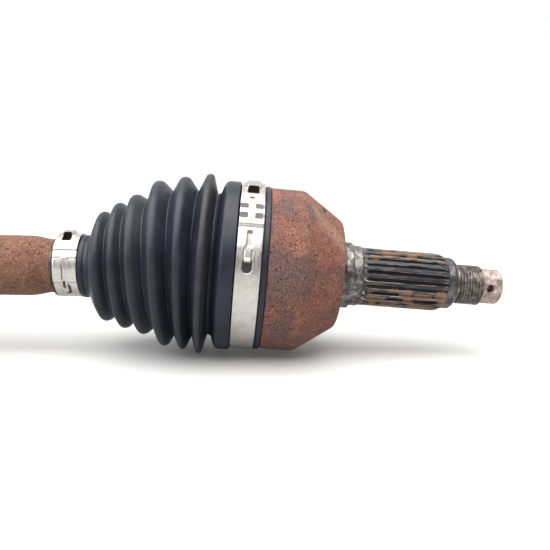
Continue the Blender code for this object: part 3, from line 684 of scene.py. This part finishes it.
def boot(name, node, place, side, bend, largest_r, sections):
    """A boot in sections that meet in its valleys.

    A section is (from x, to x, body at its start, body at its end, blend from x, blend to x); the two bodies
    and the blend are not used.
    """
    outside, inside = boot_lines(largest_r)
    for number, (high, low, first, second, blend_from, blend_to) in enumerate(sections, 1):
        loop = clipped(outside, high, low) + list(reversed(clipped(inside, high, low)))
        rows = [(side * x, r, 0) for x, r in loop]
        piece = turned(f"{name}_{number}", rows, place, [RUBBER], 160, shape=bent(bend),
                       marks={"dust": rib_dust}, closed=True, sharp=50.0)
        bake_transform(piece)
        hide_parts(node)


# ---- clamps ---------------------------------------------------------------------------------------
BAND_WIDTH, BAND_THICKNESS = 10.8, 0.6


def plateau(s, x, s0, s1, x0, x1, corner, soft):
    """1 inside a rounded rectangle and 0 outside, changing over "soft" mm."""
    corner = min(corner, (s1 - s0) / 2, (x1 - x0) / 2)
    qs = np.abs(s - (s0 + s1) / 2) - (s1 - s0) / 2 + corner
    qx = np.abs(x - (x0 + x1) / 2) - (x1 - x0) / 2 + corner
    away = np.hypot(np.maximum(qs, 0), np.maximum(qx, 0)) + np.minimum(np.maximum(qs, qx), 0) - corner
    return smooth(0.5 - away / soft)


# A feature is (from degrees, to degrees, from x, to x, level in mm, corner, softness, darkness of painted
# shade).
# Level 0 is the top of the lower layer and a level of None only paints shade. They are laid in order.
EDGE = 6.0
# Four windows pressed into the upper layer, darkened with painted shade.
WINDOWS = [(start, start + 4.1, *sides, 0.30, 0.5, 0.4, 0.78)
           for start in (38.9, 46.8) for sides in ((-5.1, -1.7), (1.5, 5.1))]
LARGE_CLAMP = [
    (5.0, 71.4, -EDGE, EDGE, 0.6, 0.1, 0.4, 0.0),      # upper layer
    (8.0, 55.2, -EDGE, EDGE, 0.95, 0.1, 0.5, 0.0),     # stiff part under the ear
    (8.0, 22.4, -3.6, 3.6, 2.4, 2.4, 1.6, 0.0),        # ear
    (22.0, 27.6, -2.5, 2.5, -0.3, 1.0, 0.4, 1.0),      # the ear's opening, and its shadow
    (20.6, 28.0, -2.8, 2.8, None, 1.2, 0.5, 1.0),
    (32.3, 34.3, -1.35, 0.65, -0.4, 0.2, 0.3, 1.0),    # small square hole, painted black as shade
    *WINDOWS,
    (52.5, 71.5, -EDGE, EDGE, None, 0.1, 0.6, 0.14),   # stretch toned down with painted shade
    (54.6, 55.6, -EDGE, EDGE, None, 0.1, 0.8, 0.30),   # two cross lines of painted shade
    (56.4, 57.4, -EDGE, EDGE, 0.35, 0.1, 0.4, 0.6),
    (59.8, 71.6, -1.4, 1.1, 0.1, 1.2, 0.4, 0.34),      # narrow slot with painted shade, darkest at its top
    (59.6, 61.4, -1.3, 1.0, 0.1, 0.8, 0.6, 0.8),
    (76.8, 86.4, -2.9, 1.8, -0.45, 2.2, 0.4, 0.95),    # wide slot in the lower layer, painted dark as shade
    (69.5, 79.2, -2.0, 0.95, 0.25, 0.3, 0.4, 0.10),    # tongue, and its raised tip
    (77.6, 79.6, -2.0, 0.95, 1.0, 0.4, 0.7, 0.0),
    (71.4, 77.4, -2.6, -2.1, -0.2, 0.1, 0.3, 0.7),     # gaps on the tongue's two sides, painted dark as shade
    (71.4, 77.4, 1.1, 1.6, -0.2, 0.1, 0.3, 0.7)]
SMALL_CLAMP = [
    (-25.0, 113.1, -EDGE, EDGE, 0.5, 0.1, 0.4, 0.0),   # upper layer, in three steps
    (-20.0, 67.2, -EDGE, EDGE, 0.8, 0.1, 0.5, 0.0),
    (-20.0, 53.6, -EDGE, EDGE, 1.25, 0.1, 0.7, 0.0),
    (-6.0, 21.0, -3.4, 2.4, 2.9, 2.4, 2.0, 0.0),       # ear
    (18.0, 33.0, -2.4, 1.4, -0.3, 0.9, 0.4, 1.0),      # the ear's opening, and its shadow
    (15.0, 34.0, -2.7, 1.7, None, 1.1, 0.5, 1.0),
    (53.6, 56.0, -EDGE, EDGE, None, 0.1, 0.8, 0.35),   # cross line of painted shade
    (66.6, 70.2, -1.4, 1.4, 0.8, 0.6, 0.6, 0.0),       # bump
    (79.9, 107.5, -1.15, -0.8, 0.0, 0.1, 0.3, 0.85),   # narrow slit, painted dark as shade
    (112.4, 113.8, -EDGE, EDGE, 0.1, 0.1, 0.3, 0.6),   # end of the upper layer, with painted shade along its step
    (116.0, 144.0, -1.3, 2.1, -0.4, 1.8, 0.4, 0.95),   # slot, the hook in it and the hook's gap; slot and gap are painted dark as shade
    (108.5, 138.0, -2.2, 1.2, 0.45, 1.6, 0.5, 0.0),
    (110.0, 126.0, -1.0, 0.1, -0.2, 0.5, 0.4, 0.9)]
LARGE_BAND, SMALL_BAND = (14.5, 39.9, 720, LARGE_CLAMP), (99.5, 14.3, 480, SMALL_CLAMP)


def clamp(name, node, place, body, side, middle_x, inner_r, segments, features):
    """A stainless strip clamp, pressed and pierced as a height map over its outside, with painted shade in
    its recesses.

    Its two zones, the inside and the outside, have one finish.
    """
    bore, outside = range(2)
    across = np.linspace(-BAND_WIDTH / 2, BAND_WIDTH / 2, 38)
    rows = [(side * (middle_x + across[0]), inner_r, bore)]
    rows += [(side * (middle_x + x), inner_r + BAND_THICKNESS, outside) for x in across]
    rows += [(side * (middle_x + across[-1]), inner_r, bore)]

    def lay(x, a):
        """Height and painted shade at a place on the band. Across is the same way round on both axle ends.
        """
        offset = x - side * middle_x
        degrees = (np.degrees(a) + 60) % 360 - 60
        s = np.radians(degrees) * inner_r
        height, dark = np.zeros_like(x), np.zeros_like(x)
        for from_a, to_a, x0, x1, level, corner, soft, shade in features:
            inside = plateau(s, offset, math.radians(from_a) * inner_r, math.radians(to_a) * inner_r,
                             x0, x1, corner, soft)
            if level is not None:
                height = height * (1 - inside) + level * inside
            dark = dark * (1 - inside) + shade * inside
        return height, dark

    def radius(x, r, a, zone):
        height, _ = lay(x, a)
        rim = smooth((BAND_WIDTH / 2 - np.abs(x - side * middle_x)) / 0.5)
        return np.where(zone == outside, r + height - 0.12 * (1 - rim), r)

    # The dark mark carries the painted shade of the features to the strip's finish.
    piece = turned(name, rows, place, [BAND, BAND], segments, radius,
                   {"dark": lambda x, r, a, zone: lay(x, a)[1] * (zone == outside)}, closed=True, sharp=60.0)
    settle(piece, body, node)


# ---- the axle -------------------------------------------------------------------------------------
outer_housing()
shaft()
inner_housing()
snap_ring()
axis_height = OUTER_CENTRE.z / MM
valley_x = [x for x, _ in VALLEYS]
boot("wheel_boot", "outer_boot", OUTER, -1, BEND, RIB_R, [
    (NECK, valley_x[0], "shaft", "first_ball", 92.0, valley_x[0]),
    (valley_x[0], valley_x[3], "first_ball", "cage", valley_x[0], valley_x[3]),
    (valley_x[3], valley_x[5], "cage", "fourth_ball", valley_x[3], valley_x[5]),
    (valley_x[5], CUFF, "fourth_ball", "wheel_end", valley_x[5], 25.5)])
boot("gearbox_boot", "inner_boot", INNER, 1, 0.0, axis_height, [
    (NECK, valley_x[1], "shaft", "tripod_swivel", 92.0, valley_x[1]),
    (valley_x[1], valley_x[3], "tripod_swivel", "inner_boot", valley_x[1], valley_x[3]),
    (valley_x[3], CUFF, "inner_boot", "gearbox_end", valley_x[3], 27.0)])
for boot_name, joint, cuff_place, neck_place, cuff_body, side in (
        ("wheel_boot", "outer", BELL, OUTER, "wheel_end", -1),
        ("gearbox_boot", "inner", INNER, INNER, "gearbox_end", 1)):
    clamp(f"{boot_name}_large_clamp", f"{joint}_large_clamp", cuff_place, cuff_body, side, *LARGE_BAND)
    clamp(f"{boot_name}_small_clamp", f"{joint}_small_clamp", neck_place, "shaft", side, *SMALL_BAND)

for label, cad_node in frame["nodes"].items():
    if not cad_node.hide_render:
        blued = label.endswith("circlip") or "retainer" in label
        for index in range(len(cad_node.data.materials)):
            cad_node.data.materials[index] = SPRING if blued else GROUND


# ---- studio ---------------------------------------------------------------------------------------
def studio():
    """A white floor, a white world that is darker in front of the axle, and two lights."""
    f = Finish("floor_white", roughness=0.6)
    f.set(Base_Color=f.mix(f.noise(400.0, 2.0), (0.45, 0.45, 0.448), (0.48, 0.48, 0.478)),
          Emission_Color=(1.0, 1.0, 1.0, 1.0), Emission_Strength=0.05)
    reach = 6000.0
    corners = np.array([[-reach, -reach, 0], [reach, -reach, 0], [reach, reach, 0], [-reach, reach, 0]])
    floor = made("floor", corners, np.array([[0, 1, 2, 3]]), Matrix.Identity(4), [f.material])
    world = bpy.data.worlds.new("studio")
    bpy.context.scene.world = world
    world.use_nodes = True
    tree = world.node_tree
    where, split, fade = (tree.nodes.new(f"ShaderNode{kind}")
                          for kind in ("TexCoord", "SeparateXYZ", "MapRange"))
    fade.interpolation_type = "SMOOTHSTEP"
    for label, value in (("From Min", -0.6), ("From Max", 0.25), ("To Min", 0.22), ("To Max", 1.0)):
        fade.inputs[label].default_value = value
    tree.links.new(where.outputs["Generated"], split.inputs[0])
    tree.links.new(split.outputs["Y"], fade.inputs["Value"])
    tree.links.new(fade.outputs[0], tree.nodes["Background"].inputs["Strength"])
    tree.nodes["Background"].inputs["Color"].default_value = (1.0, 1.0, 1.0, 1.0)
    overhead = bpy.data.objects.new("overhead_light", bpy.data.lights.new("overhead", "SUN"))
    overhead.data.energy, overhead.data.angle = 6.8, math.radians(75)
    overhead.rotation_euler = (math.radians(15), math.radians(-8), 0)
    left = bpy.data.objects.new("left_light", bpy.data.lights.new("left", "AREA"))
    left.data.size, left.data.energy = 0.6, 8.0
    left.location = (-0.8, -0.7, 0.6)
    left.rotation_euler = (Vector((0.95, 0.7, -0.57))).to_track_quat("-Z", "Y").to_euler()
    for light in (overhead, left):
        bpy.context.collection.objects.link(light)
    bpy.context.scene.view_settings.view_transform = "Standard"


def camera():
    """The view is square to the shaft, a little from above, with the wheel-end joint in the middle."""
    elevation, yaw, pitch, roll = (math.radians(d) for d in (8.0, 2.7, 0.56, 0.9))
    distance, lens, sensor = 0.295, 38.88, 36.0
    foot = OUTER_CENTRE + Vector((-14.5 * MM, 0, 0))
    ahead = Vector((0, math.cos(elevation), -math.sin(elevation)))
    right = Vector((1, 0, 0))
    up = right.cross(ahead)
    forward = ahead * math.cos(yaw) + right * math.sin(yaw)
    side = right * math.cos(yaw) - ahead * math.sin(yaw)
    look = forward * math.cos(pitch) - up * math.sin(pitch)
    up = up * math.cos(pitch) + forward * math.sin(pitch)
    level = side * math.cos(roll) + up * math.sin(roll)
    up = up * math.cos(roll) - side * math.sin(roll)
    eye = bpy.data.objects.new("camera", bpy.data.cameras.new("camera"))
    eye.data.lens, eye.data.sensor_width, eye.data.clip_start = lens, sensor, 0.01
    turn = Matrix((level, up, -look)).transposed()
    eye.matrix_world = Matrix.Translation(foot - ahead * distance) @ turn.to_4x4()
    bpy.context.collection.objects.link(eye)
    bpy.context.scene.camera = eye


studio()
camera()
